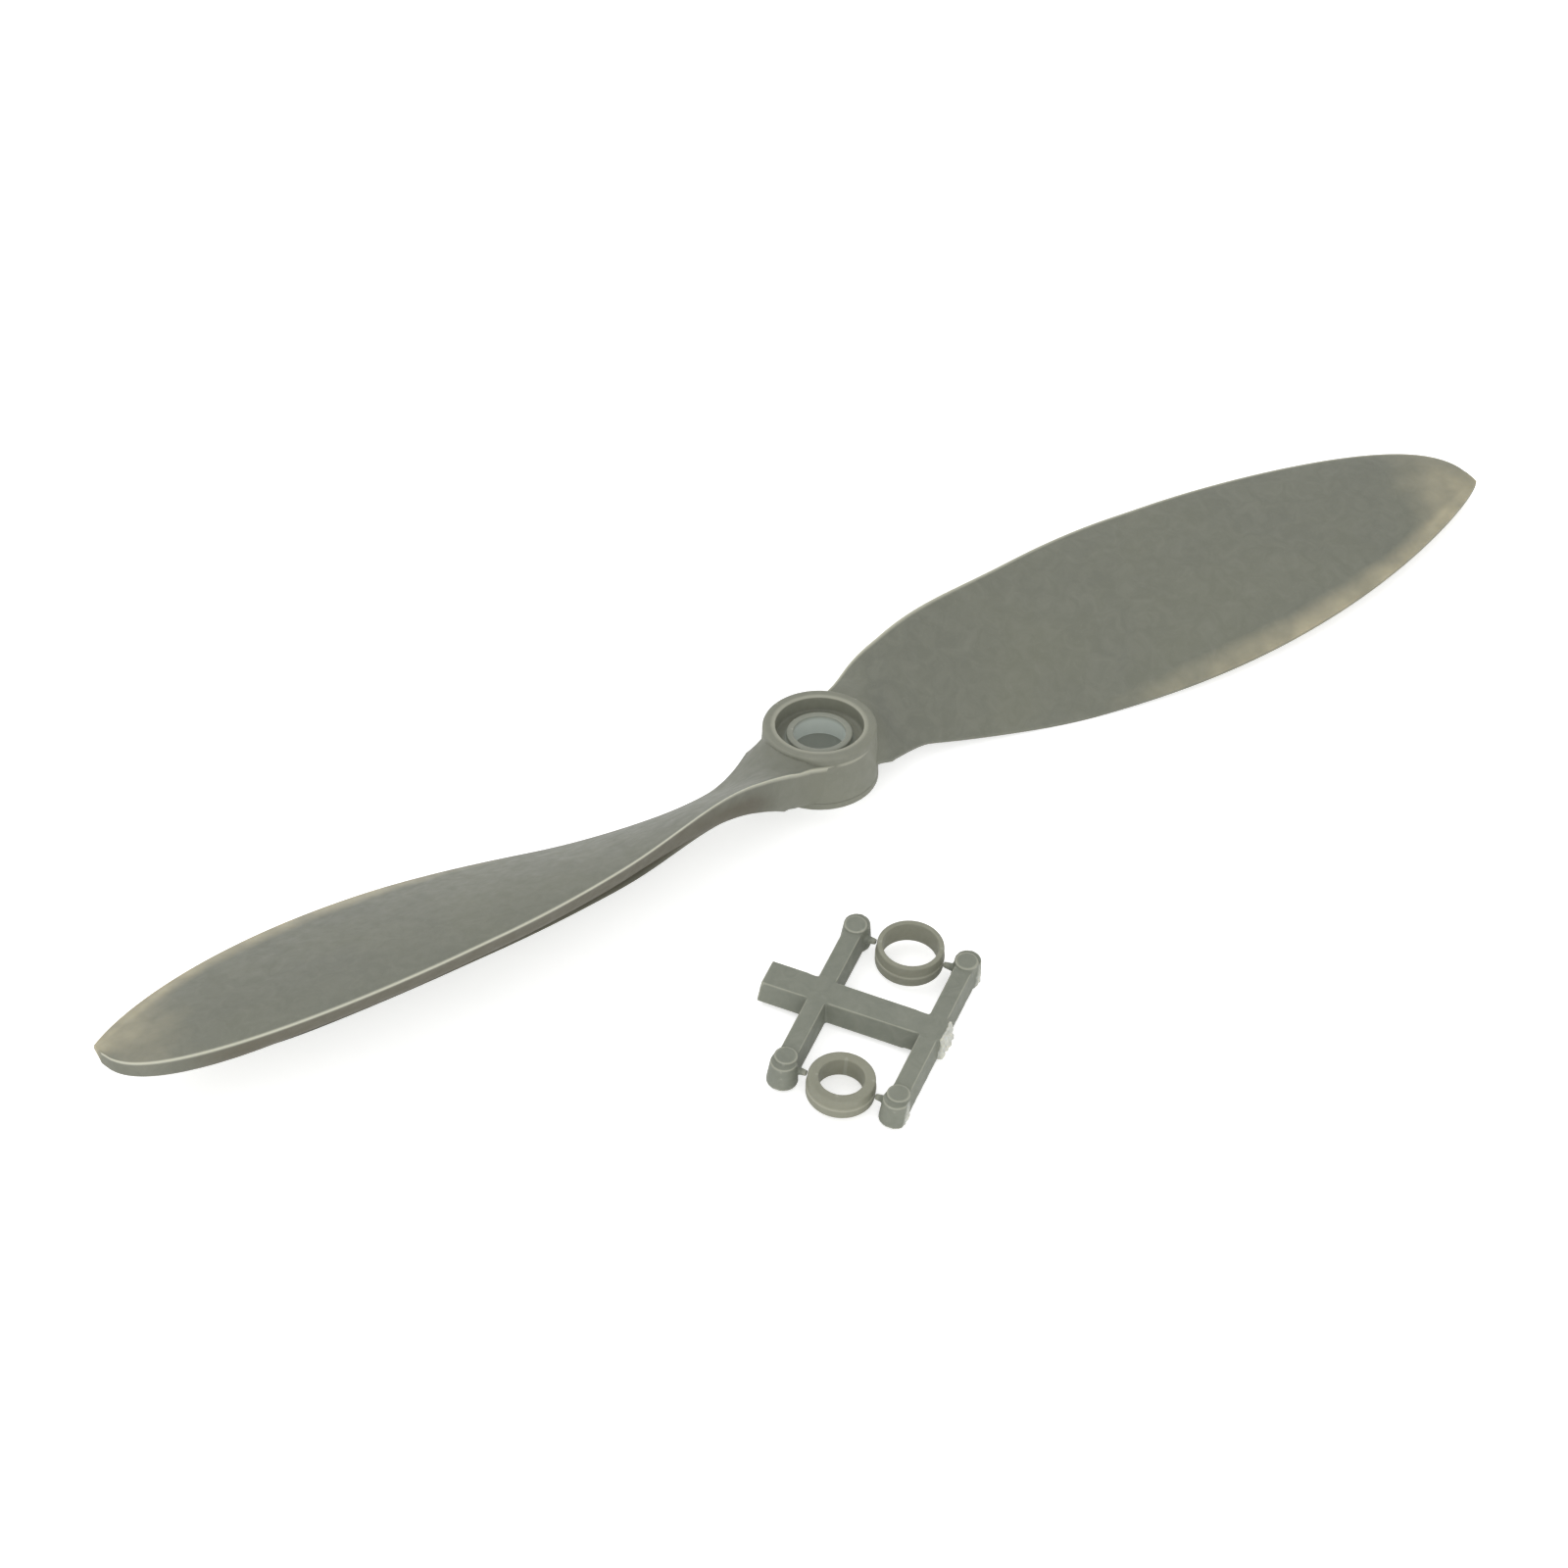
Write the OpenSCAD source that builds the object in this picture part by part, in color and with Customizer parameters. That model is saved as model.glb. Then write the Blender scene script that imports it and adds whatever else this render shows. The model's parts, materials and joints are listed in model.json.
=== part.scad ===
// Two-blade moulded propeller with its spare shaft rings still on their moulding tree.
// The propeller lies on a table on its two low trailing edges, so its hub leans back a little.

/* [Propeller] */
// Tip to tip
prop_d = 203.2; // [190:0.1:216]
// Advance in one turn, measured from leading ridge to trailing edge
pitch = 125; // [110:1:135]
// Lean of the shaft axis away from vertical as it lies on the table
lean = 8.8; // [0:0.1:10]
// Height of the blade's middle line above the rear face
mid_z = 3.95; // [3.8:0.05:4.1]

/* [Blade outline] */
// Span at which the blade is widest
wide_x = 60; // [56:1:64]
// Leading edge reach in front of the span line where the blade is widest
lead_y = 14.0; // [13:0.1:15]
// Trailing edge reach behind the span line where the blade is widest
trail_y = 10.65; // [10:0.05:12]
// Trailing edge reach at the narrow neck beside the hub
neck_y = 3.0; // [2.6:0.1:3.4]
// Span of the narrow neck
neck_x = 14; // [13:0.5:15]

/* [Blade section] */
// Height of the blunt nose wall at mid span
nose_h = 3.1; // [2.7:0.1:3.3]
// Thickness of the trailing edge
edge_t = 0.5; // [0.4:0.05:0.8]
// Camber of the upper face as a share of the chord
camber = 0.055; // [0.03:0.005:0.07]

/* [Hub] */
// Hub height from rear face to front rim
hub_h = 7.7; // [7.4:0.1:8]
// Hub diameter at the front rim
hub_d = 14.0; // [13.6:0.1:14.4]
// Draft of the barrel, wider toward the rear face
hub_draft = 1.9; // [0:0.1:3]
// Diameter of the shaft hole, for a quarter inch shaft
bore_d = 6.4; // [6:0.05:6.6]
// Diameter of the seat for a shaft ring, open at the rear face
seat_d = 8.4; // [8.2:0.05:8.8]
// Depth of the ring seat
seat_depth = 3.8; // [3:0.1:4]
// Outer diameter of the boss round the shaft hole
boss_d = 8.1; // [7.6:0.1:8.4]
// Outer diameter of the moulded groove round the boss
groove_d = 10.8; // [10.2:0.1:11.2]
// Depth of the groove below the front rim
groove_depth = 2.0; // [1.7:0.1:2.8]
// How far the boss stays below the front rim
boss_drop = 1.2; // [0.5:0.1:1.5]

/* [Shaft rings] */
// Outer diameter of both rings, to sit in the hub's ring seat
ring_d = 8.36; // [8.1:0.02:8.38]
// Shaft hole of the thin walled ring
thin_bore = 6.7; // [6.4:0.05:6.9]
// Shaft hole of the thick walled ring
thick_bore = 5.4; // [5.0:0.05:5.7]
// Height of the thin walled ring
thin_h = 3.0; // [2.6:0.1:3.2]
// Height of the thick walled ring
thick_h = 2.8; // [2.4:0.1:3.2]

/* [Moulding tree] */
// Distance between the two arms on one side
arm_pitch = 14.2; // [14:0.1:15]
// Distance from the runner's middle to the stub at an arm's end
arm_reach = 11.5; // [11:0.1:12.5]
// Width of an arm across its top
arm_w = 2.3; // [1.8:0.1:2.5]
// Overall length of the runner
runner_len = 24; // [22:0.5:26]
// Top of the runner above the table
tree_top = 3.6; // [3.4:0.1:3.9]

/* [Hidden] */
tip_x = prop_d / 2;
hub_r = hub_d / 2;
foot_r = hub_r + hub_h * tan(hub_draft);
groove_z = hub_h - groove_depth;
boss_z = hub_h - boss_drop;
rim_round = 0.3;
stations = 46;
root_x = 1.5;
neck_lead = 6.6;
tip_nose = 1.45;
root_nose = 8.5;
washout = 0.25;
tip_rise = 0.32;
tip_drop = 0.5;
root_twist = 11;
root_twist_x = 9;
neck_rise = 1.5;
smooth = 96;

// Where the tree lies on the table beside the left blade
floor_z = -1.78;
lean_turn = 12;
tree_at = [-16.7, -36.95];
tree_turn = -55;
lift = 0.6;
arm_x = arm_pitch / 2;
arm_h = tree_top - lift;
draft = 0.4;
stub_r = 1.45;
stub_top = tree_top + 0.45;
boss_top_r = 1.6;
boss_foot_r = 1.95;
boss_shift = 0.6;
runner_start = -14.4;
runner_w_start = 4.6;
runner_w_end = 4.0;
runner_w = 3.8;
runner_shift = 0.3;
gate_z = 2.1;
gate_w = 1.0;
ring_clear = 0.12;

// Shares of the span outside the widest station, 0 there and 1 at the tip
function outer(x) = max(0, (x - wide_x) / (tip_x - wide_x));

// Leading edge, as distance in front of the span line
function lead(x) = x < wide_x
    ? neck_lead + (lead_y - neck_lead) * pow(sin(min(90, 100 * x / wide_x)), 1.7)
        - 0.022 * pow(max(0, 12 - x), 2)
    : lead_y * pow(1 - pow(outer(x), 1.8), 0.335);

// Trailing edge, as distance behind the span line
function trail(x) = x < neck_x ? neck_y + pow(neck_x - max(x, 7), 2) / 19
    : x < wide_x
    ? neck_y + (trail_y - neck_y) * pow(sin(90 * (x - neck_x) / (wide_x - neck_x)), 1.35)
    : trail_y * pow(1 - pow(outer(x), 2), 0.85);

// Angle of the section to the plane of rotation, eased off near the hub and a little at the tip
function free_twist(x) = atan(pitch / (2 * PI * x)) * (1 - exp(-pow(x / 12.4, 1.72)))
    * (1 - washout * pow(outer(x), 2));
function twist(x) = x > root_twist_x ? free_twist(x)
    : root_twist + (free_twist(root_twist_x) - root_twist) * pow(x / root_twist_x, 2);

// Height of the section's middle, raised over the neck and a little toward the tip
function middle(x) = mid_z + neck_rise * (abs(x - 15) < 22 ? pow(cos(90 * (x - 15) / 22), 2) : 0)
    + tip_rise * pow(sin(90 * min(1, x / 85)), 3) - tip_drop * pow(outer(x), 8);
function rise(x) = (lead(x) + trail(x)) * tan(twist(x)) / 2;

// Height of the nose wall, deep beside the barrel
function nose(x) = min(middle(x) + rise(x) - 0.05,
    tip_nose + (nose_h - tip_nose) * (1 - 0.15 * pow(x / tip_x, 2)) * pow(1 - pow(outer(x), 6), 0.4)
    + root_nose * exp(-x / 9));
function bulge(x) = camber * (lead(x) + trail(x)) * (1 - 0.6 * exp(-pow((x - 17) / 12, 2)));
function shoulder(x) = 3.2 * pow(max(0, 1 - (x - 5) / 8), 2);

// One closed section at span x: along the upper face to the trailing edge and back under it
upper_steps = 12;
lower_steps = 9;
function upper_point(x, s) = [x, lead(x) - (lead(x) + trail(x)) * s,
    middle(x) + rise(x) * (1 - 2 * s) + edge_t * s / 2
    + bulge(x) * sin(180 * pow(s, 0.8)) + shoulder(x) * sin(180 * pow(s, 1.5))];
function lower_point(x, s) = [x, lead(x) - (lead(x) + trail(x)) * s,
    middle(x) + rise(x) * (1 - 2 * s) - nose(x) * (1 - s) - edge_t * s / 2
    + 0.5 * camber * (lead(x) + trail(x)) * sin(180 * s)];
function section(x) = concat(
    [for (i = [0 : upper_steps]) upper_point(x, i / upper_steps)],
    [for (i = [lower_steps : -1 : 0]) lower_point(x, 0.02 + 0.98 * i / lower_steps)],
    [[x, lead(x), middle(x) + rise(x) - 0.8 * nose(x)]]);
section_points = upper_steps + lower_steps + 3;

// Spans of the stations, closer together toward the tip
function station(i) = root_x + (tip_x - 0.03 - root_x) * (1 - pow(1 - i / stations, 1.8));

module blade_solid() {
    points = [for (i = [0 : stations]) each section(station(i))];
    sides = [for (i = [0 : stations - 1]) for (j = [0 : section_points - 1])
        let (k = (j + 1) % section_points, a = i * section_points, b = a + section_points)
        each [[a + j, b + j, b + k], [a + j, b + k, a + k]]];
    root_cap = [for (j = [0 : section_points - 1]) j];
    tip_cap = [for (j = [section_points - 1 : -1 : 0]) stations * section_points + j];
    polyhedron(points, concat(sides, [root_cap], [tip_cap]), convexity = 6);
}

module barrel_cutter() {
    reach = 8;
    translate([0, 0, -reach])
        cylinder(h = hub_h + 2 * reach, r1 = foot_r + reach * tan(hub_draft),
            r2 = hub_r - reach * tan(hub_draft), $fn = smooth);
}

// Turns the propeller from square with its shaft to the way it lies
module as_laid() {
    rotate(a = lean, v = [-cos(lean_turn), sin(lean_turn), 0])
        children();
}

module blade() {
    difference() {
        blade_solid();
        barrel_cutter();
    }
}

module blade_right() {
    color([0.48, 0.48, 0.42]) as_laid() blade();
}

module blade_left() {
    color([0.48, 0.48, 0.42]) as_laid() rotate([0, 0, 180]) blade();
}

module hub() {
    color([0.53, 0.53, 0.47]) as_laid() rotate_extrude($fn = smooth)
        polygon([
            [seat_d / 2, 0], [foot_r, 0], [hub_r, hub_h - rim_round],
            [hub_r - rim_round, hub_h], [groove_d / 2, hub_h], [groove_d / 2, groove_z],
            [boss_d / 2, groove_z], [boss_d / 2, boss_z], [bore_d / 2, boss_z],
            [bore_d / 2, seat_depth], [seat_d / 2, seat_depth]
        ]);
}

// Sets a piece of the tree down on the table
module on_table() {
    translate([tree_at.x, tree_at.y, floor_z]) rotate([0, 0, tree_turn])
        children();
}

// A bar along +X with drafted sides, its middle line on the X axis
module drafted_bar(length, width, from_z, height) {
    translate([0, 0, from_z]) rotate([90, 0, 90])
        linear_extrude(height = length)
            polygon([[-width / 2 - draft, 0], [width / 2 + draft, 0],
                [width / 2, height], [-width / 2, height]]);
}

module runner_solid() {
    translate([runner_start, runner_shift, 0]) intersection() {
        drafted_bar(runner_len, runner_w, lift, arm_h);
        linear_extrude(height = tree_top + 1)
            polygon([[0, -runner_w_start / 2], [runner_len, -runner_w_end / 2],
                [runner_len, runner_w_end / 2], [0, runner_w_start / 2]]);
    }
}

// One arm with its rounded end, reaching out along +Y or -Y at the given place on the runner
module arm(x, side) {
    difference() {
        union() {
            translate([x, 0, 0]) rotate([0, 0, 90 * side])
                drafted_bar(arm_reach, arm_w, lift, arm_h);
            translate([x, side * (arm_reach + boss_shift), 0.3])
                cylinder(h = tree_top - 0.3, r1 = boss_foot_r, r2 = boss_top_r, $fn = smooth);
        }
        runner_solid();
        translate([x, side * arm_reach, -1])
            cylinder(h = tree_top + 2, r = stub_r, $fn = smooth);
    }
}

// Round stub through an arm's end, standing a little proud above and below
module stub(x, side) {
    translate([x, side * arm_reach, 0])
        cylinder(h = stub_top, r = stub_r, $fn = smooth);
}

// Thin gate from an arm's end toward a ring, stopping just short of it
module gate(from_side, side) {
    reach = arm_x - ring_d / 2 - ring_clear;
    difference() {
        translate([from_side * arm_x, side * arm_reach, gate_z]) rotate([0, -90 * from_side, 0])
            cylinder(h = reach, d = gate_w, $fn = 32);
        arm(from_side * arm_x, side);
        stub(from_side * arm_x, side);
    }
}

module ring(bore, height, side) {
    translate([0, side * arm_reach, gate_z - height / 2])
        difference() {
            cylinder(h = height, d = ring_d, $fn = smooth);
            translate([0, 0, -1]) cylinder(h = height + 2, d = bore, $fn = smooth);
        }
}

module runner() {
    color([0.52, 0.54, 0.48]) on_table() runner_solid();
}

module arm_a() {
    color([0.52, 0.54, 0.48]) on_table() arm(-arm_x, 1);
}

module arm_b() {
    color([0.52, 0.54, 0.48]) on_table() arm(arm_x, 1);
}

module arm_c() {
    color([0.52, 0.54, 0.48]) on_table() arm(-arm_x, -1);
}

module arm_d() {
    color([0.52, 0.54, 0.48]) on_table() arm(arm_x, -1);
}

module stub_a() {
    color([0.52, 0.54, 0.48]) on_table() stub(-arm_x, 1);
}

module stub_b() {
    color([0.52, 0.54, 0.48]) on_table() stub(arm_x, 1);
}

module stub_c() {
    color([0.52, 0.54, 0.48]) on_table() stub(-arm_x, -1);
}

module stub_d() {
    color([0.52, 0.54, 0.48]) on_table() stub(arm_x, -1);
}

module gate_a() {
    color([0.52, 0.54, 0.48]) on_table() gate(-1, 1);
}

module gate_b() {
    color([0.52, 0.54, 0.48]) on_table() gate(1, 1);
}

module gate_c() {
    color([0.52, 0.54, 0.48]) on_table() gate(-1, -1);
}

module gate_d() {
    color([0.52, 0.54, 0.48]) on_table() gate(1, -1);
}

module ring_thin() {
    color([0.52, 0.54, 0.48]) on_table() ring(thin_bore, thin_h, 1);
}

module ring_thick() {
    color([0.52, 0.54, 0.48]) on_table() ring(thick_bore, thick_h, -1);
}

hub();
blade_right();
blade_left();
runner();
arm_a();
arm_b();
arm_c();
arm_d();
stub_a();
stub_b();
stub_c();
stub_d();
gate_a();
gate_b();
gate_c();
gate_d();
ring_thin();
ring_thick();
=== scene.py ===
import json
import math
from collections import namedtuple

import bmesh
import bpy
import numpy as np
from mathutils import Matrix, Vector, noise


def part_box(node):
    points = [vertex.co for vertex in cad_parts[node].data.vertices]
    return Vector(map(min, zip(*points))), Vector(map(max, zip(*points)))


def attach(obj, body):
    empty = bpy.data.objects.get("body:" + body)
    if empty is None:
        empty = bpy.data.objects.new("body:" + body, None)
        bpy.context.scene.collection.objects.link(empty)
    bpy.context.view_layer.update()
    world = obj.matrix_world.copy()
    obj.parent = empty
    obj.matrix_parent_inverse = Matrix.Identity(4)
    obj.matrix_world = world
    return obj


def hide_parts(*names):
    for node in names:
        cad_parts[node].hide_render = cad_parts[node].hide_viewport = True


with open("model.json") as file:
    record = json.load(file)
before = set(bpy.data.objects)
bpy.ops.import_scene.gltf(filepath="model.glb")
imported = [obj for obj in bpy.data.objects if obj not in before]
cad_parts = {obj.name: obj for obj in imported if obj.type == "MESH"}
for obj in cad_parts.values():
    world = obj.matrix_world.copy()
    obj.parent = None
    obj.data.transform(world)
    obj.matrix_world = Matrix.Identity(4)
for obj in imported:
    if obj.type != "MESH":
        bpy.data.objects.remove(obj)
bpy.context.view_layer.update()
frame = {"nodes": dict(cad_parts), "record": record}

MM = 0.001

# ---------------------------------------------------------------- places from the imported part
mounts = {m["name"]: m for m in frame["record"]["mounts"]}
shaft_up = Vector(mounts["front_rim"]["axis"])
lay = Vector((0, 0, 1)).rotation_difference(shaft_up).to_matrix()


def middle_of(node):
    low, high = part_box(node)
    return (low + high) / 2


table_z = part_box("stub_a")[0].z
far_ring, near_ring = middle_of("ring_thin"), middle_of("ring_thick")
tree_mid = (far_ring + near_ring) / 2
across = far_ring - near_ring
tree_frame = Matrix.Translation((tree_mid.x, tree_mid.y, table_z)) @ Matrix.Rotation(
    math.atan2(across.y, across.x) - math.pi / 2, 4, "Z")
# in mm from the middle of the tree: to each ring's centre, and along the runner to each pair of arms
reach = across.length / 2 / MM
arm_x = (middle_of("stub_a") - middle_of("stub_b")).length / 2 / MM


# ---------------------------------------------------------------- mesh helpers
def set_layer(mesh, key, values):
    layer = mesh.attributes.new(key, "FLOAT", "POINT")
    layer.data.foreach_set("value", np.asarray(values, np.float32))


def new_object(name, verts, faces, smooth_deg, layers):
    """Object from vertices in metres, with one point attribute for each of its tint layers."""
    mesh = bpy.data.meshes.new(name)
    mesh.from_pydata([tuple(v) for v in verts], [], faces)
    for key, values in layers.items():
        set_layer(mesh, key, values)
    obj = bpy.data.objects.new(name, mesh)
    bpy.context.scene.collection.objects.link(obj)
    clean_mesh(mesh, math.radians(smooth_deg))
    return obj


def clean_mesh(mesh, sharp_angle):
    """Joins double points, turns the faces outwards and smooths all but the sharp edges."""
    bm = bmesh.new()
    bm.from_mesh(mesh)
    bmesh.ops.remove_doubles(bm, verts=bm.verts, dist=2e-6)
    bmesh.ops.dissolve_degenerate(bm, edges=bm.edges, dist=1e-7)
    bmesh.ops.recalc_face_normals(bm, faces=bm.faces)
    for face in bm.faces:
        face.smooth = True
    for edge in bm.edges:
        if len(edge.link_faces) == 2 and edge.calc_face_angle(0) > sharp_angle:
            edge.smooth = False
    bm.to_mesh(mesh)
    bm.free()


def smoothstep(a, b, v):
    t = np.clip((np.asarray(v, float) - a) / (b - a), 0, 1)
    return t * t * (3 - 2 * t)


def step(a, b, v):
    return float(smoothstep(a, b, v))


def filleted(corners, steps=5):
    """Closed profile of (r, z, radius) corners, each rounded by its radius."""
    out = []
    for i, (r, z, radius) in enumerate(corners):
        here = Vector((r, z))
        before = Vector(corners[i - 1][:2]) - here
        after = Vector(corners[(i + 1) % len(corners)][:2]) - here
        cut = min(radius, before.length * 0.49, after.length * 0.49)
        if cut <= 0:
            out.append((r, z))
            continue
        a = here + before.normalized() * cut
        b = here + after.normalized() * cut
        for k in range(steps + 1):
            t = k / steps
            out.append(tuple((1 - t) ** 2 * a + 2 * t * (1 - t) * here + t * t * b))
    return out


def dense(profile, spacing):
    """Splits the long straight runs of a closed profile, so that a bend in them has vertices."""
    out = []
    for i, (r, z) in enumerate(profile):
        next_r, next_z = profile[(i + 1) % len(profile)]
        parts = max(1, int(math.hypot(next_r - r, next_z - z) / spacing))
        out += [(r + (next_r - r) * k / parts, z + (next_z - z) * k / parts) for k in range(parts)]
    return out


def lathe(profile, turns, change=None):
    """Vertices in mm and faces of a closed profile turned about Z; change(r, z, angle) moves a point."""
    verts, faces = [], []
    m = len(profile)
    for i in range(turns):
        angle = 2 * math.pi * i / turns
        for r, z in profile:
            if change:
                r, z = change(r, z, angle)
            verts.append((r * math.cos(angle), r * math.sin(angle), z))
    for i in range(turns):
        j = (i + 1) % turns
        for k in range(m):
            n = (k + 1) % m
            faces.append((i * m + k, j * m + k, j * m + n, i * m + n))
    return verts, faces


# -------------------------------------------------------- the propeller, in its own square frame in mm
# The shaft is Z and a blade runs along +X, with its leading edge on the +Y side.
TIP_X, WIDE_X = 101.6, 60.0
LEAD_Y, TRAIL_Y = 14.0, 10.65
NECK_X, NECK_Y, NECK_LEAD = 14.0, 3.2, 6.6
PITCH, WASHOUT = 125.0, 0.25
ROOT_TWIST, ROOT_TWIST_X = math.radians(11), 9.0
MID_Z, NECK_RISE, TIP_RISE, TIP_DROP = 3.95, 1.5, 0.32, 0.5
NOSE_H, TIP_NOSE, ROOT_NOSE = 3.1, 1.45, 8.5
EDGE_T, CAMBER = 0.5, 0.055
HUB_R, FOOT_R, HUB_H = 7.0, 7.255, 7.7
SEAT_R, SEAT_Z, BORE_R = 4.2, 3.8, 3.2
BOSS_R, BOSS_H, GROOVE_R, GROOVE_Z = 4.05, 6.5, 5.4, 5.7
RIDGE_Z = 6.5  # height at which the nose's ridge runs onto the barrel
JOIN_X = 20    # nearer the hub than this, the skin is led onto the barrel


def outer(x):
    """0 from the root to the widest place, rising to 1 at the tip."""
    return np.maximum(0, (x - WIDE_X) / (TIP_X - WIDE_X))


def lead(x):
    """Distance of the leading edge in front of the blade's middle line."""
    swell = np.sin(np.radians(np.minimum(90, 100 * x / WIDE_X))) ** 1.7
    inner = NECK_LEAD + (LEAD_Y - NECK_LEAD) * swell - 0.022 * np.maximum(0, 12 - x) ** 2
    return np.where(x < WIDE_X, inner, LEAD_Y * np.maximum(0, 1 - outer(x) ** 1.8) ** 0.335)


def trail(x):
    """Distance of the trailing edge behind the blade's middle line."""
    neck = NECK_Y + 0.102 * np.maximum(0, NECK_X - np.maximum(x, 7)) ** 1.6
    ramp = np.clip((x - NECK_X) / (WIDE_X - NECK_X), 0, 1)
    body = NECK_Y + (TRAIL_Y - NECK_Y) * np.sin(np.pi / 2 * ramp) ** 1.35
    tip = TRAIL_Y * np.maximum(0, 1 - outer(x) ** 2) ** 0.85
    return np.where(x < NECK_X, neck, np.where(x < WIDE_X, body, tip))


def chord(x):
    return lead(x) + trail(x)


def free_twist(x):
    """Helix angle of the pitch, eased in beside the hub and eased off towards the tip."""
    return np.arctan(PITCH / (2 * np.pi * x)) * (1 - np.exp(-(x / 12.4) ** 1.72)) \
        * (1 - WASHOUT * outer(x) ** 2)


def twist(x):
    at_root = ROOT_TWIST + (free_twist(ROOT_TWIST_X) - ROOT_TWIST) * (x / ROOT_TWIST_X) ** 2
    return np.where(x > ROOT_TWIST_X, free_twist(x), at_root)


def middle(x):
    """Height of the section's middle, with a hump over the neck and a tip that turns down."""
    from_hump = x - 15
    hump = np.where(np.abs(from_hump) < 22, np.cos(np.pi / 2 * from_hump / 22) ** 2, 0)
    return MID_Z + NECK_RISE * hump + TIP_RISE * np.sin(np.pi / 2 * np.minimum(1, x / 85)) ** 3 \
        - TIP_DROP * outer(x) ** 8


def rise(x):
    return chord(x) * np.tan(twist(x)) / 2


def nose(x):
    """Depth of the wall under the leading edge."""
    body = TIP_NOSE + (NOSE_H - TIP_NOSE) * (1 - 0.15 * (x / TIP_X) ** 2) \
        * np.maximum(0, 1 - outer(x) ** 6) ** 0.4
    return np.minimum(middle(x) + rise(x) - 0.05, body + ROOT_NOSE * np.exp(-x / 9))


def bulge(x):
    return CAMBER * chord(x) * (1 - 0.6 * np.exp(-((x - 17) / 12) ** 2))


def shoulder(x):
    return 3.2 * np.maximum(0, 1 - (x - 5) / 8) ** 2


def upper_z(x, s):
    """Upper face at share s of the chord, from the leading edge to the trailing edge."""
    return middle(x) + rise(x) * (1 - 2 * s) + EDGE_T * s / 2 \
        + bulge(x) * np.sin(np.pi * s ** 0.8) + shoulder(x) * np.sin(np.pi * s ** 1.5)


def lower_z(x, s):
    return middle(x) + rise(x) * (1 - 2 * s) - nose(x) * (1 - s) - EDGE_T * s / 2 \
        + 0.5 * CAMBER * chord(x) * np.sin(np.pi * s)


def smooth_max(a, b, width):
    return max(a, b) + max(0.0, width - abs(a - b)) ** 2 / (4 * width)


def lead_skin(x):
    """Leading edge of the skin: it leaves the barrel along a tangent, with no corner between them."""
    inset, blend = 0.01, 2.2
    edge = float(lead(x)) - inset
    if x > JOIN_X:
        return edge
    barrel_r = 6.9 + 0.2 * step(0.8, 2.5, x)
    return smooth_max(edge, math.sqrt(max(0.0, barrel_r ** 2 - x * x)), blend)


def ridge_height(x):
    """Top of the nose wall, a little lower at its highest place and held up where it meets the barrel."""
    dip, dip_x, dip_w, blend = 0.11, 22, 10, 0.8
    z = float(upper_z(x, 0.0)) - dip * math.exp(-((x - dip_x) / dip_w) ** 2)
    return z if x > JOIN_X else smooth_max(z, RIDGE_Z, blend)


def across_chord(s):
    """Function of x that gives y at share s of the chord."""
    return lambda x: lead_skin(x) - (lead_skin(x) + float(trail(x))) * s


def settle(x, y_of):
    """Pushes a point out of the hub's middle, onto a circle inside its wall."""
    buried_r = 6.2
    out = x
    for _ in range(6):
        out = max(x, math.sqrt(max(0.0, buried_r ** 2 - y_of(out) ** 2)))
    return out, y_of(out)


def tilt(x):
    """How far the nose wall slopes back under the blade, for each mm of its height."""
    return 0.42 * step(15, 34, x) * step(99, 78, x)


def under_drop(x):
    """Extra depth of the under face at the nose, which the sloped wall takes."""
    return 0.75 * tilt(x) * float(nose(x))


def foot_line(x):
    """Lowest height that the blade may reach beside the hub."""
    return 0.2 + 0.03 * x * x if x < 9 else -9.0


def fillet(x, y, size, width):
    """Height of the fillet between the blade and the barrel."""
    wall_r = 6.95
    return size * min(1.0, max(0.0, 1 - (math.hypot(x, y) - wall_r) / width)) ** 2


# Tint weights go with each point: thin (pale, warm edge, painted light shining through it),
# ridge (light line, a painted highlight), shade (painted shade on the nose wall) and root (tone of the
# hub).
Point = namedtuple("Point", "x y z thin ridge shade root")
STATIONS, UP_POINTS, LOW_POINTS, FOOT_POINTS, WALL_POINTS = 190, 44, 34, 7, 4
FIRST_X, LAST_X = 0.8, TIP_X - 0.05
SKIN_GAP = 0.05  # the skin lies this far inside the drawn surface


def edge_fade(x0):
    """Strength of the trailing edge's tint, faint over the thick inner part of the blade."""
    return 0.12 + 0.88 * step(30, 66, x0)


def tip_weight(x0):
    return step(0.82, 1.0, x0 / TIP_X)


def thin_weight(s, x0):
    by_edge = edge_fade(x0) * step(0.82, 1.0, s)
    return by_edge + tip_weight(x0) * (0.44 + 0.46 * step(0.1, 0.7, s))


def root_weight(x, y):
    return 0.5 * step(9, 6.5, math.hypot(x, y))


def upper_row(x0):
    lip_at, lip_h, lip_w, ridge_w = 0.1, 0.09, 0.14, 0.28
    rim_z = 7.2
    for s in (1 - np.cos(np.linspace(0, np.pi, UP_POINTS))) / 2:
        x, y = settle(x0, across_chord(s))
        z = float(upper_z(x, s)) + fillet(x, y, 0.35, 1.4) * math.sin(math.pi * s) ** 0.5 \
            + (ridge_height(x) - float(upper_z(x, 0.0))) * (1 - s) ** 3
        z -= step(11.0, 8.0, math.hypot(x, y)) * max(0.0, z - rim_z) * 0.8
        from_edge = s * float(chord(x))
        lip = lip_h * math.exp(-((from_edge - lip_at) / lip_w) ** 2)
        # painted highlight along the ridge of the leading edge
        ridge = math.exp(-(from_edge / ridge_w) ** 2) * (0.3 + 0.7 * step(1, 8, x))
        yield Point(x, y, z + lip - SKIN_GAP, thin_weight(s, x0), ridge, 0.0, root_weight(x, y))


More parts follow.
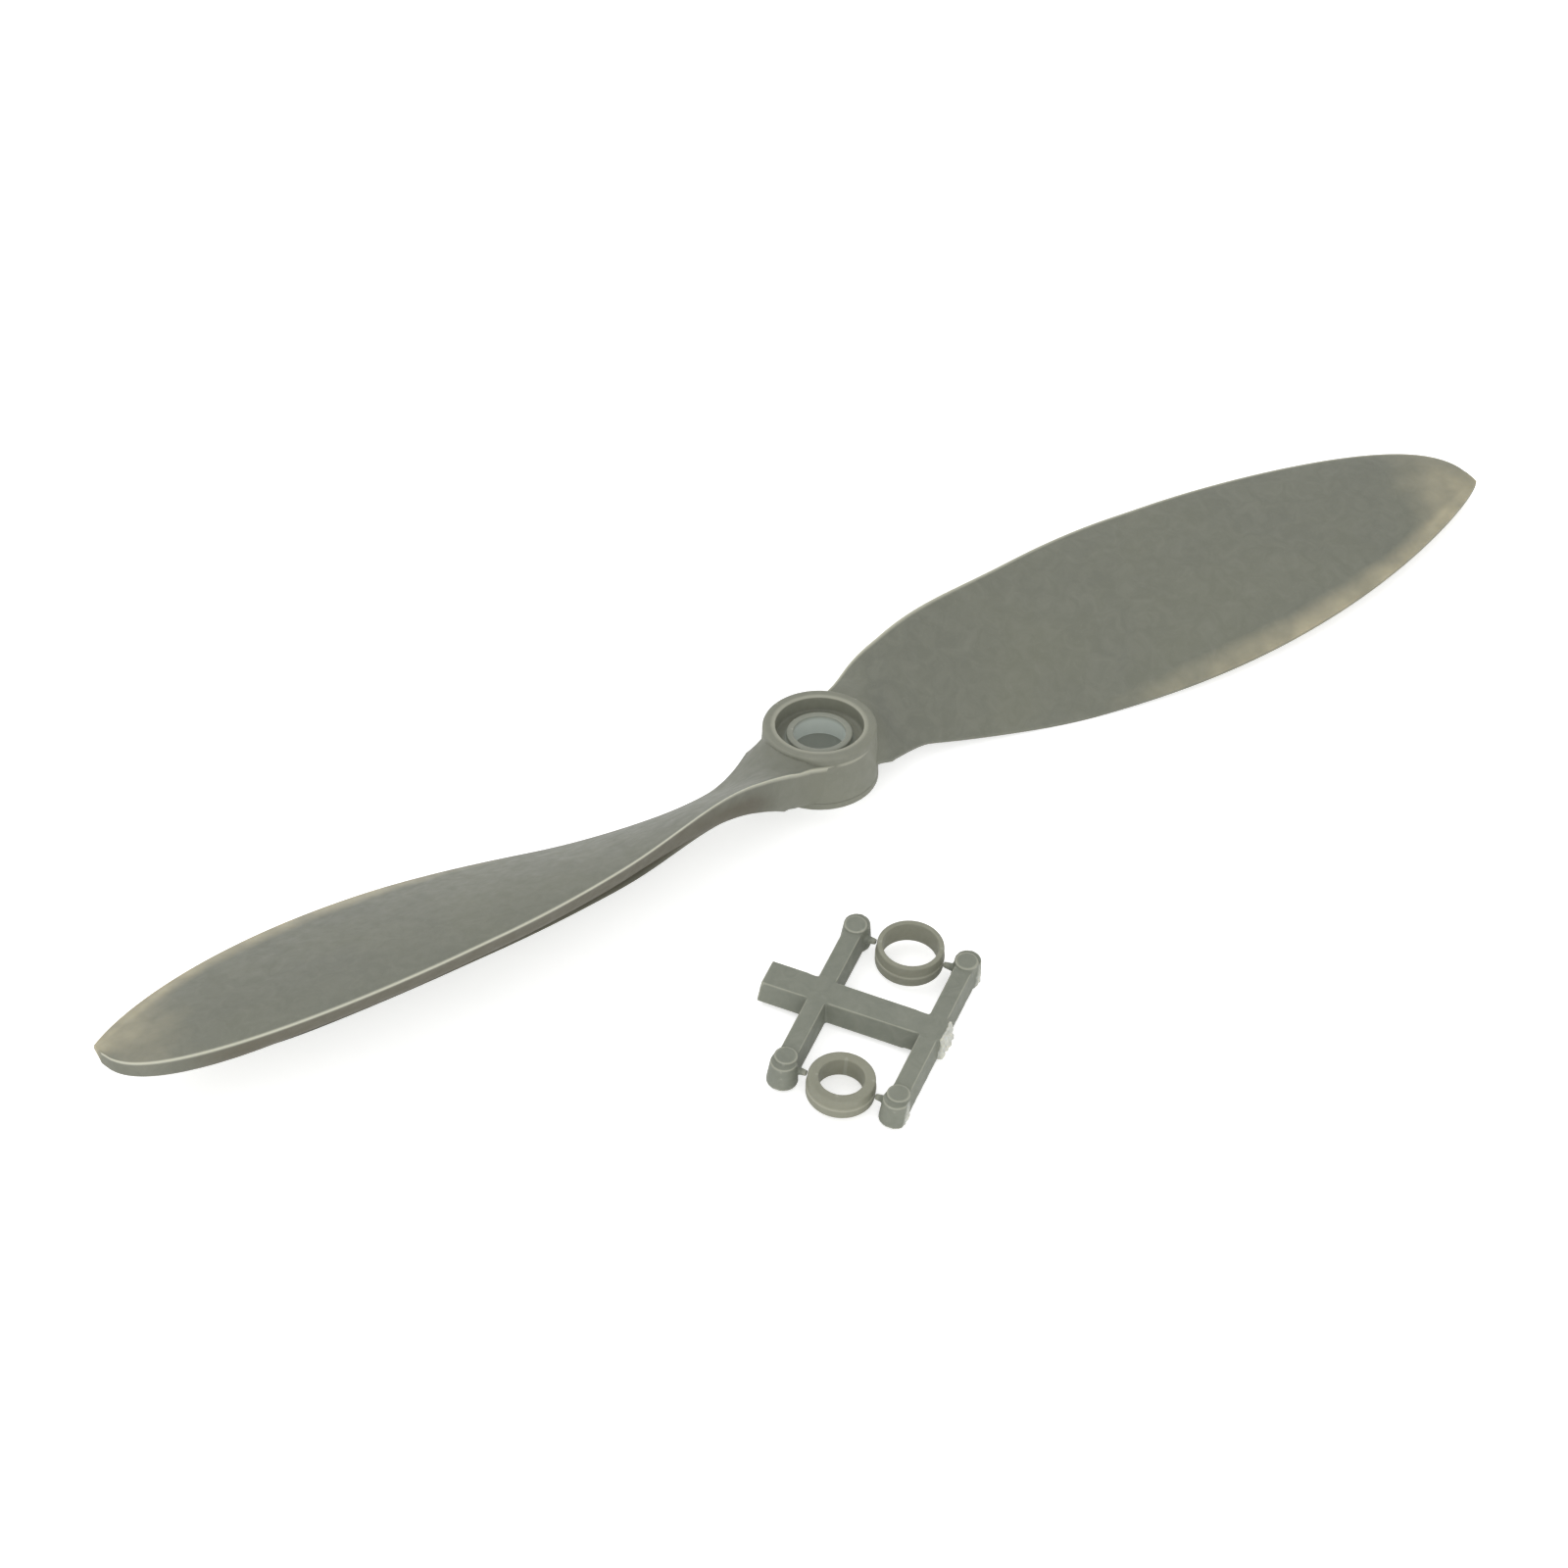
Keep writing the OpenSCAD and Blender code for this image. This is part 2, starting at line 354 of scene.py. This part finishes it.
def trailing_row(x0):
    """Half round of the trailing edge."""
    thin = 0.55 * edge_fade(x0)
    for k in (1, 2, 3):
        x, y = settle(x0, lambda v: float(-trail(v)))
        a = math.pi * k / 4
        top, bottom = float(upper_z(x, 1.0)) - SKIN_GAP, float(lower_z(x, 1.0))
        y += 0.03 - 0.03 * math.sin(a)
        z = (top + bottom) / 2 + (top - bottom) / 2 * math.cos(a)
        yield Point(x, y, z, thin, 0.0, 0.0, root_weight(x, y))


def lower_row(x0):
    for s in 0.965 - 0.87 * np.linspace(0, 1, LOW_POINTS):
        x, y = settle(x0, across_chord(s))
        z = float(lower_z(x, s)) - fillet(x, y, 0.4, 2.0) - under_drop(x) * (1 - s)
        yield Point(x, y, max(z, foot_line(x)), thin_weight(s, x0), 0.0, 0.0, root_weight(x, y))


def nose_row(x0):
    """Rounded foot of the nose, then a nearly upright wall up to the parting ridge."""
    tip, joined = tip_weight(x0), step(16, 3, x0)
    # painted shade on the nose wall and its rounded foot under the leading edge
    nose_shade = step(10, 16, x0) * step(99, 87, x0)
    x, y_top = settle(x0, lead_skin)
    z_top = ridge_height(x) - SKIN_GAP
    low = max(float(lower_z(x, 0.0)) - under_drop(x), foot_line(x))
    deep = z_top - low
    foot_s = 0.06
    foot_in = 0.95 * tilt(x) * deep
    start = Vector((y_top - (y_top + float(trail(x))) * foot_s - foot_in,
                    max(float(lower_z(x, foot_s)) - under_drop(x), foot_line(x))))
    corner = Vector((y_top - 0.12 - foot_in, low + 0.04 * deep))
    high = Vector((y_top - 0.08 - 0.5 * tilt(x) * deep, z_top - 0.55 * deep))
    for k in range(1, FOOT_POINTS + 1):
        u = k / FOOT_POINTS
        p = (1 - u) ** 2 * start + 2 * u * (1 - u) * corner + u * u * high
        yield Point(x, p.x, p.y, 0.3 * tip, 0.0, nose_shade, joined)
    for k in range(1, WALL_POINTS + 1):
        u = k / (WALL_POINTS + 1)
        y = high.x + (y_top - 0.05 - high.x) * u
        z = high.y + (z_top - 0.10 - high.y) * u
        yield Point(x, y, z, 0.3 * tip, 0.0, nose_shade * ((1 - u) + u * step(17, 26, x)), joined)
    # the top of the wall carries the ridge's painted highlight
    y = y_top - 0.03
    yield Point(x, y, z_top - 0.07, 0.2 * tip, 0.8, 0.0, root_weight(x, y))


def root_cap(points, m):
    """Closes the root with a strip that keeps inside the hub's wall, clear of its bore."""
    faces = []
    a, b = 0, m - 1
    while a < UP_POINTS - 1 or b > UP_POINTS:
        if b == UP_POINTS or (a < UP_POINTS - 1 and points[a + 1].y >= points[b - 1].y):
            faces.append((a, a + 1, b))
            a += 1
        else:
            faces.append((a, b - 1, b))
            b -= 1
    return faces


def blade_mesh():
    """Vertices, faces and tint layers of a blade: rings of points round the section, from hub to tip."""
    t = np.linspace(0, 1, STATIONS)
    points = []
    for x0 in FIRST_X + (LAST_X - FIRST_X) * (0.55 * t + 0.45 * (1 - (1 - t) ** 2.6)):
        for row in (upper_row, trailing_row, lower_row, nose_row):
            points += row(x0)
    m = len(points) // STATIONS
    faces = []
    for i in range(STATIONS - 1):
        for k in range(m):
            n = (k + 1) % m
            faces.append((i * m + k, (i + 1) * m + k, (i + 1) * m + n, i * m + n))
    faces += root_cap(points, m)
    faces.append(tuple((STATIONS - 1) * m + k for k in reversed(range(m))))
    layers = {key: [min(1.0, getattr(p, key)) for p in points] for key in Point._fields[3:]}
    return [p[:3] for p in points], faces, layers


def as_laid(verts, turn=0.0):
    """From the propeller's square frame in mm to the table frame in metres."""
    m = lay @ Matrix.Rotation(turn, 3, "Z")
    return [m @ (Vector(v) * MM) for v in verts]


# ---------------------------------------------------------------- materials
class Nodes:
    """Short names for building one material's node tree."""

    def __init__(self, name):
        self.mat = bpy.data.materials.new(name)
        self.mat.use_nodes = True
        self.tree = self.mat.node_tree
        self.tree.nodes.clear()
        self.out = self.tree.nodes.new("ShaderNodeOutputMaterial")
        self.coord = self.tree.nodes.new("ShaderNodeTexCoord").outputs["Object"]

    def add(self, kind, **settings):
        node = self.tree.nodes.new(kind)
        for key, value in settings.items():
            setattr(node, key, value)
        return node

    def link(self, a, b):
        self.tree.links.new(a, b)

    def feed(self, value, socket):
        """Links an output to the socket, or sets the socket to a number or a colour."""
        if isinstance(value, tuple):
            socket.default_value = (*value, 1)
        elif isinstance(value, (int, float)):
            socket.default_value = value
        else:
            self.link(value, socket)

    def noise(self, scale, detail=3.0, rough=0.55, distortion=0.0):
        node = self.add("ShaderNodeTexNoise")
        self.link(self.coord, node.inputs["Vector"])
        settings = {"Scale": scale, "Detail": detail, "Roughness": rough, "Distortion": distortion}
        for key, value in settings.items():
            node.inputs[key].default_value = value
        return node.outputs["Fac"]

    def attribute(self, name):
        return self.add("ShaderNodeAttribute", attribute_name=name).outputs["Fac"]

    def remap(self, value, low, high, to_low, to_high):
        node = self.add("ShaderNodeMapRange", clamp=True)
        self.link(value, node.inputs["Value"])
        settings = {"From Min": low, "From Max": high, "To Min": to_low, "To Max": to_high}
        for key, number in settings.items():
            node.inputs[key].default_value = number
        return node.outputs["Result"]

    def mix(self, factor, a, b):
        node = self.add("ShaderNodeMix", data_type="RGBA")
        self.link(factor, node.inputs["Factor"])
        self.feed(a, node.inputs["A"])
        self.feed(b, node.inputs["B"])
        return node.outputs["Result"]

    def multiply(self, a, b):
        node = self.add("ShaderNodeMath", operation="MULTIPLY")
        self.feed(a, node.inputs[0])
        self.feed(b, node.inputs[1])
        return node.outputs[0]

    def bump(self, scale, detail, rough, strength, distance, under=None):
        node = self.add("ShaderNodeBump")
        node.inputs["Strength"].default_value = strength
        node.inputs["Distance"].default_value = distance
        self.link(self.noise(scale, detail, rough), node.inputs["Height"])
        if under:
            self.link(under, node.inputs["Normal"])
        return node.outputs["Normal"]


# The ridge tone is a painted highlight with parting flash, the bore tone painted light, the worn tone wear
# with a painted highlight; the shade and hollow tones are painted shade.
HUB_TONE, HIGHLIGHT_AND_FLASH_TONE = (0.186, 0.190, 0.148), (0.56, 0.555, 0.45)
BORE_LIGHT_TONE, SHADE_TONE = (0.62, 0.68, 0.64), (0.092, 0.081, 0.053)
WEAR_AND_HIGHLIGHT_TONE, CREASE_SHADE_TONE = (0.34, 0.345, 0.285), (0.09, 0.092, 0.07)


def nylon(name, base, dark, pale, warm, wear_and_highlight=0.6):
    """Glass filled nylon: mottled olive grey and a fine grain, with paler, warmer thin edges painted for
    the light shining through them, and painted highlights and shade from the tint layers.
    """
    n = Nodes(name)
    clouds = n.remap(n.noise(55, 3, 0.6, 0.6), 0.32, 0.68, 0, 1)
    colour = n.mix(clouds, dark, base)
    streaks = n.remap(n.noise(420, 4, 0.65, 1.2), 0.38, 0.72, 0, 0.55)
    colour = n.mix(streaks, colour, pale)
    colour = n.mix(n.remap(n.attribute("root"), 0, 1, 0, 0.9), colour, HUB_TONE)
    edge = n.add("ShaderNodeNewGeometry").outputs["Pointiness"]
    # convex edges lighter: wear with a painted highlight
    colour = n.mix(n.remap(edge, 0.515, 0.62, 0, wear_and_highlight), colour, WEAR_AND_HIGHLIGHT_TONE)
    # painted shade: hollow creases darker
    colour = n.mix(n.remap(edge, 0.485, 0.40, 0, 0.4), colour, CREASE_SHADE_TONE)
    specks = n.remap(n.noise(2600, 2, 0.5), 0.62, 0.78, 0, 0.35)
    colour = n.mix(specks, colour, pale)
    thin = n.attribute("thin")
    # thin layer: paler and warmer, painted light shining through thin edges; on the tree, the pale torn
    # break
    ragged = n.multiply(thin, n.remap(n.noise(240, 3), 0.3, 0.7, 0.55, 1.0))
    colour = n.mix(n.remap(ragged, 0.15, 1.0, 0, 0.85), colour, warm)
    # ridge layer: painted highlight along ridges, rim edges and parting lines, with their flash
    colour = n.mix(n.remap(n.attribute("ridge"), 0.1, 1.0, 0, 0.85), colour, HIGHLIGHT_AND_FLASH_TONE)
    # painted light in the bore and its seat
    colour = n.mix(n.attribute("inner"), colour, BORE_LIGHT_TONE)
    # painted shade on the nose wall
    colour = n.mix(n.remap(n.attribute("shade"), 0, 1, 0, 0.76), colour, SHADE_TONE)
    shader = n.add("ShaderNodeBsdfPrincipled")
    n.link(colour, shader.inputs["Base Color"])
    n.link(n.remap(n.noise(700, 3), 0.3, 0.7, 0.48, 0.62), shader.inputs["Roughness"])
    shader.inputs["IOR"].default_value = 1.5
    shader.inputs["Specular IOR Level"].default_value = 0.38
    n.link(n.remap(thin, 0.3, 1.0, 0.06, 0.4), shader.inputs["Subsurface Weight"])
    shader.inputs["Subsurface Radius"].default_value = (1.0, 0.85, 0.55)
    shader.inputs["Subsurface Scale"].default_value = 0.0007
    grain = n.bump(3800, 3, 0.6, strength=0.35, distance=0.00004)
    n.link(n.bump(130, 2, 0.5, strength=0.5, distance=0.0002, under=grain), shader.inputs["Normal"])
    n.link(shader.outputs["BSDF"], n.out.inputs["Surface"])
    return n.mat


blade_mat = nylon("nylon_blade", base=(0.153, 0.159, 0.122), dark=(0.143, 0.149, 0.121),
                  pale=(0.194, 0.199, 0.161), warm=(0.43, 0.39, 0.27), wear_and_highlight=0.1)
hub_mat = nylon("nylon_hub", base=(0.193, 0.197, 0.153), dark=(0.178, 0.183, 0.146),
                pale=(0.222, 0.226, 0.182), warm=(0.41, 0.37, 0.26))
tree_mat = nylon("nylon_tree", base=(0.182, 0.194, 0.155), dark=(0.166, 0.177, 0.144),
                 pale=(0.232, 0.241, 0.198), warm=(0.72, 0.73, 0.67), wear_and_highlight=0.3)
ring_mat = nylon("nylon_ring", base=(0.234, 0.234, 0.175), dark=(0.211, 0.212, 0.161),
                 pale=(0.262, 0.265, 0.209), warm=(0.46, 0.40, 0.27), wear_and_highlight=0.4)


def finish_piece(obj, material, body, slot_name, *nodes):
    obj.data.materials.clear()
    obj.data.materials.append(material)
    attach(obj, body)
    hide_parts(*nodes)


# ---------------------------------------------------------------- blades and hub
blade_verts, blade_faces, blade_layers = blade_mesh()
for blade_name, turn in (("blade_right", 0.0), ("blade_left", math.pi)):
    blade = new_object(blade_name + "_skin", as_laid(blade_verts, turn), blade_faces, 34, blade_layers)
    finish_piece(blade, blade_mat, "propeller", "propeller_nylon", blade_name)


def collar(r, z, angle):
    """Below the parting line the barrel is fuller, with a step that carries each blade's ridge round it."""
    inside, foot_top, rim_start, fuller = 6.4, 1.05, 7.0, 0.13
    if r < inside or z < foot_top or z > rim_start:
        return r, z
    turn = math.degrees(angle) % 180
    sharp = step(46, 52, turn) * step(112, 78, turn)
    ledge = step(RIDGE_Z + 0.08, RIDGE_Z - 0.06, z)
    return r + fuller * (sharp * ledge + (1 - sharp) * step(6.6, 3.5, z)), z


def hub_highlight(x, y, z):
    """Painted highlight on the inner edge of the rim and along the parting line running out round the
    barrel.
    """
    r, turn = math.hypot(x, y), math.degrees(math.atan2(y, x)) % 180
    rim = 0.4 * step(0.2, 0.02, abs(z - HUB_H)) * step(6.3, 5.6, r)
    line = math.exp(-((z - RIDGE_Z) / 0.17) ** 2) * step(6.6, 6.8, r)
    return rim + 0.55 * line * step(68, 80, turn) * step(128, 96, turn)


def bore_light(x, y, z):
    """Painted light on the wall of the bore, and more of it in the seat under it."""
    return step(4.5, 3.7, math.hypot(x, y)) * (0.72 * step(6.7, 5.8, z) + 0.28 * step(4.1, 3.6, z))


hub_profile = filleted([
    (SEAT_R, 0.0, 0.25), (FOOT_R, 0.0, 0.30), (FOOT_R - 0.02, 0.9, 0.12), (FOOT_R - 0.16, 1.0, 0.15),
    (HUB_R - 0.01, HUB_H, 0.48), (GROOVE_R, HUB_H, 0.20), (GROOVE_R, GROOVE_Z, 0.40),
    (BOSS_R, GROOVE_Z, 0.35), (BOSS_R, BOSS_H, 0.20), (BORE_R, BOSS_H, 0.14), (BORE_R, SEAT_Z, 0.10),
    (SEAT_R, SEAT_Z, 0.30)])
hub_verts, hub_faces = lathe(dense(hub_profile, 0.16), 240, collar)
hub = new_object("hub_body", as_laid(hub_verts), hub_faces, 50, {
    "thin": [0.0] * len(hub_verts),
    "ridge": [hub_highlight(*v) for v in hub_verts],
    "inner": [bore_light(*v) for v in hub_verts]})
finish_piece(hub, hub_mat, "propeller", "propeller_nylon", "hub")

# ---------------------------------------------------------------- the moulding tree, in its own frame in mm
TREE_TOP, ARM_LOW, GATE_Z = 3.6, 0.6, 2.1
RUNNER_START, RUNNER_END = -14.35, 9.55
GATE_TIP_X = 4.32  # how far from the rings' centre line the gates stop
VOXEL = 0.12


def circle(cx, cy, r, n=72):
    """Outline of n points."""
    turns = [2 * math.pi * i / n for i in range(n)]
    return [(cx + r * math.cos(a), cy + r * math.sin(a)) for a in turns]


def solid_between(bm, foot, top):
    """Closed solid between two outlines of the same number of points."""
    a = [bm.verts.new(p) for p in foot]
    b = [bm.verts.new(p) for p in top]
    bm.faces.new(list(reversed(a)))
    bm.faces.new(b)
    for i in range(len(a)):
        j = (i + 1) % len(a)
        bm.faces.new((a[i], a[j], b[j], b[i]))


def prism(bm, foot, top, z0, z1):
    solid_between(bm, [(x, y, z0) for x, y in foot], [(x, y, z1) for x, y in top])


def tapered_arm(bm, cx, end):
    foot, head = 1.52, 1.12
    order = 1 if end > 0 else -1
    outlines = [[(cx - w, 0), (cx + w, 0), (cx + w, end), (cx - w, end)][::order] for w in (foot, head)]
    prism(bm, *outlines, ARM_LOW, TREE_TOP)


def gate(bm, cx, cy, sx):
    """Short cone lying along X at half the ring's height, from a stub towards a ring."""
    base_x, base_r, tip_r = cx - sx * 0.6, 0.62, 0.36
    ends = [[(x, y, z) for y, z in circle(cy, GATE_Z, r, 20)]
            for x, r in ((base_x, base_r), (sx * GATE_TIP_X, tip_r))]
    solid_between(bm, *ends)


def convexity(mesh, co, rounds):
    """How far each point stands proud of its smoothed neighbourhood, along its own normal."""
    pairs = np.zeros(len(mesh.edges) * 2, np.int64)
    mesh.edges.foreach_get("vertices", pairs)
    a, b = pairs.reshape(-1, 2).T
    count = np.maximum(np.bincount(np.r_[a, b], minlength=len(co)), 1)[:, None]
    soft = co
    for _ in range(rounds):
        soft = np.stack([np.bincount(np.r_[a, b], np.r_[soft[b, k], soft[a, k]], len(co))
                         for k in range(3)], 1) / count
    normals = np.zeros(len(co) * 3)
    mesh.vertices.foreach_get("normal", normals)
    return np.sum((co - soft) * normals.reshape(-1, 3), 1)


def skinned(bm, name):
    """Object of the solids in bm, joined into one skin with soft corners."""
    bmesh.ops.recalc_face_normals(bm, faces=bm.faces)
    mesh = bpy.data.meshes.new(name)
    bm.to_mesh(mesh)
    bm.free()
    mesh.transform(Matrix.Scale(MM, 4))
    obj = bpy.data.objects.new(name, mesh)
    bpy.context.scene.collection.objects.link(obj)
    remesh = obj.modifiers.new("skin", "REMESH")
    remesh.mode = "VOXEL"
    remesh.voxel_size = VOXEL * MM
    relax = obj.modifiers.new("relax", "SMOOTH")
    relax.factor = 0.5
    relax.iterations = 5
    graph = bpy.context.evaluated_depsgraph_get()
    joined = bpy.data.meshes.new_from_object(obj.evaluated_get(graph))
    obj.modifiers.clear()
    obj.data = joined
    return obj


def lumps(co, size, offset=(0, 0, 0)):
    return np.array([noise.noise(Vector(p) / (size * MM) + Vector(offset)) for p in co])


def tree_solid():
    bm = bmesh.new()
    foot_end, head_start, head_end = RUNNER_END - 0.1, RUNNER_START + 0.25, RUNNER_END - 0.5
    prism(bm, [(RUNNER_START, -1.98), (foot_end, -1.75), (foot_end, 2.25), (RUNNER_START, 2.55)],
          [(head_start, -1.62), (head_end, -1.38), (head_end, 2.0), (head_start, 2.2)], ARM_LOW, TREE_TOP)
    for sx in (-1, 1):
        for sy in (-1, 1):
            cx, cy = sx * arm_x, sy * reach
            end = cy + sy * 0.6
            tapered_arm(bm, cx, end)
            prism(bm, circle(cx, end, 1.92), circle(cx, end, 1.60), 0.35, TREE_TOP)
            prism(bm, circle(cx, cy, 1.45), circle(cx, cy, 1.42), 0.03, TREE_TOP + 0.42)
            gate(bm, cx, cy, sx)
    obj = skinned(bm, "tree_body")
    mesh = obj.data
    co = np.zeros(len(mesh.vertices) * 3)
    mesh.vertices.foreach_get("co", co)
    co = co.reshape(-1, 3)
    # torn end of the runner: a rough, paler break beyond the last arm
    torn = smoothstep(arm_x + 1.35, arm_x + 1.9, co[:, 0] / MM)
    co[:, 0] += torn * (lumps(co, 0.6) * 0.35 - 0.25) * MM
    co[:, 2] += torn * lumps(co, 0.9, (5, 2, 1)) * 0.25 * MM
    cut = smoothstep(-14.0, -14.2, co[:, 0] / MM)
    mesh.vertices.foreach_set("co", co.reshape(-1))
    # thin layer here: the torn break pale, a painted highlight on its whitened nylon, and the cut end a
    # little paler
    set_layer(mesh, "thin", np.maximum(torn * 0.95, cut * 0.35))
    # ridge layer on the tree: convex edges lighter, wear with a painted highlight
    set_layer(mesh, "ridge", 0.42 * smoothstep(0.02, 0.12, convexity(mesh, co, 16) / MM))
    mesh.transform(tree_frame)
    for poly in mesh.polygons:
        poly.use_smooth = True
    return obj


TREE_NODES = [n for n in frame["nodes"] if n.startswith(("runner", "arm_", "stub_", "gate_"))]
finish_piece(tree_solid(), tree_mat, "tree", "tree_nylon", *TREE_NODES)


def ring_piece(name, node, body, mount, side):
    """A shaft ring: its bore from the record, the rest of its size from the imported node."""
    low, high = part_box(node)
    bore_r = mounts[mount]["dims"]["r_mm"]
    outer_r = (high.x - low.x) / 2 / MM
    h = (high.z - low.z) / MM
    mid = h / 2
    profile = filleted([
        (outer_r - 0.06, 0, 0.28), (outer_r, mid - 0.05, 0.03), (outer_r, mid + 0.03, 0.02),
        (outer_r - 0.09, mid + 0.08, 0.05), (outer_r - 0.13, h, 0.26), (bore_r + 0.02, h, 0.20),
        (bore_r, mid, 0.1), (bore_r + 0.02, 0, 0.22)][::-1], 4)
    verts, faces = lathe(dense(profile, 0.2), 160)
    # ridge layer on the ring: a painted highlight along the outer wall's parting line, over its flash
    line, line_w, wall = 0.42, 0.2, outer_r - 0.3
    parting = [line * math.exp(-((z - mid) / line_w) ** 2) if math.hypot(x, y) > wall else 0.0
               for x, y, z in verts]
    place = tree_frame @ Matrix.Translation((0, side * reach * MM, low.z - table_z))
    obj = new_object(name, [place @ (Vector(v) * MM) for v in verts], faces, 50,
                     {"thin": [0.0] * len(verts), "ridge": parting})
    finish_piece(obj, ring_mat, body, "ring_nylon", node)


ring_piece("thin_ring_body", "ring_thin", "thin_ring", "thin_ring_bore", 1)
ring_piece("thick_ring_body", "ring_thick", "thick_ring", "thick_ring_bore", -1)


# ---------------------------------------------------------------- table, light and camera
def floor_piece():
    """Pale table top. It looks a little brighter to the camera than the light that it throws back."""
    bm = bmesh.new()
    bmesh.ops.create_grid(bm, x_segments=8, y_segments=8, size=1.6)
    mesh = bpy.data.meshes.new("table_top")
    bm.to_mesh(mesh)
    bm.free()
    obj = bpy.data.objects.new("table_top", mesh)
    bpy.context.scene.collection.objects.link(obj)
    obj.location.z = table_z - 0.02 * MM
    n = Nodes("table_white")
    shader = n.add("ShaderNodeBsdfPrincipled")
    seen = n.add("ShaderNodeLightPath").outputs["Is Camera Ray"]
    paper = n.mix(n.noise(6, 2), (0.86, 0.86, 0.86), (0.88, 0.88, 0.875))
    n.link(n.mix(seen, (0.80, 0.80, 0.80), paper), shader.inputs["Base Color"])
    shader.inputs["Emission Color"].default_value = (1, 1, 1, 1)
    n.link(n.remap(seen, 0, 1, 0.30, 0.5), shader.inputs["Emission Strength"])
    shader.inputs["Roughness"].default_value = 0.9
    shader.inputs["Specular IOR Level"].default_value = 0.1
    n.link(shader.outputs["BSDF"], n.out.inputs["Surface"])
    mesh.materials.append(n.mat)


def area_light(name, place, size, power):
    """Round soft light aimed at the hub."""
    data = bpy.data.lights.new(name, "AREA")
    data.shape = "DISK"
    data.size = size
    data.energy = power
    obj = bpy.data.objects.new(name, data)
    bpy.context.scene.collection.objects.link(obj)
    obj.location = place
    obj.rotation_mode = "QUATERNION"
    obj.rotation_quaternion = (-Vector(place)).to_track_quat("-Z", "Y")


floor_piece()
area_light("key", (-0.25, 0.75, 0.95), 1.0, 3.9)
area_light("fill", (-0.6, -0.8, 0.5), 1.0, 3.6)

world = bpy.data.worlds.new("studio")
world.use_nodes = True
world.node_tree.nodes["Background"].inputs["Color"].default_value = (1, 1, 1, 1)
world.node_tree.nodes["Background"].inputs["Strength"].default_value = 0.85
bpy.context.scene.world = world

camera = bpy.data.cameras.new("camera")
camera.sensor_width = 36
camera.lens = 170.91
camera.clip_start = 0.01
camera.clip_end = 20
camera_obj = bpy.data.objects.new("camera", camera)
bpy.context.scene.collection.objects.link(camera_obj)
forward = Vector((0.42167, 0.54929, -0.72144))
right = Vector((0.83051, -0.55329, 0.06415))
camera_obj.matrix_world = Matrix.Translation((-0.38752, -0.49800, 0.65506)) @ Matrix(
    (right, right.cross(forward), -forward)).transposed().to_4x4()
bpy.context.scene.camera = camera_obj
bpy.context.scene.view_settings.view_transform = "Standard"
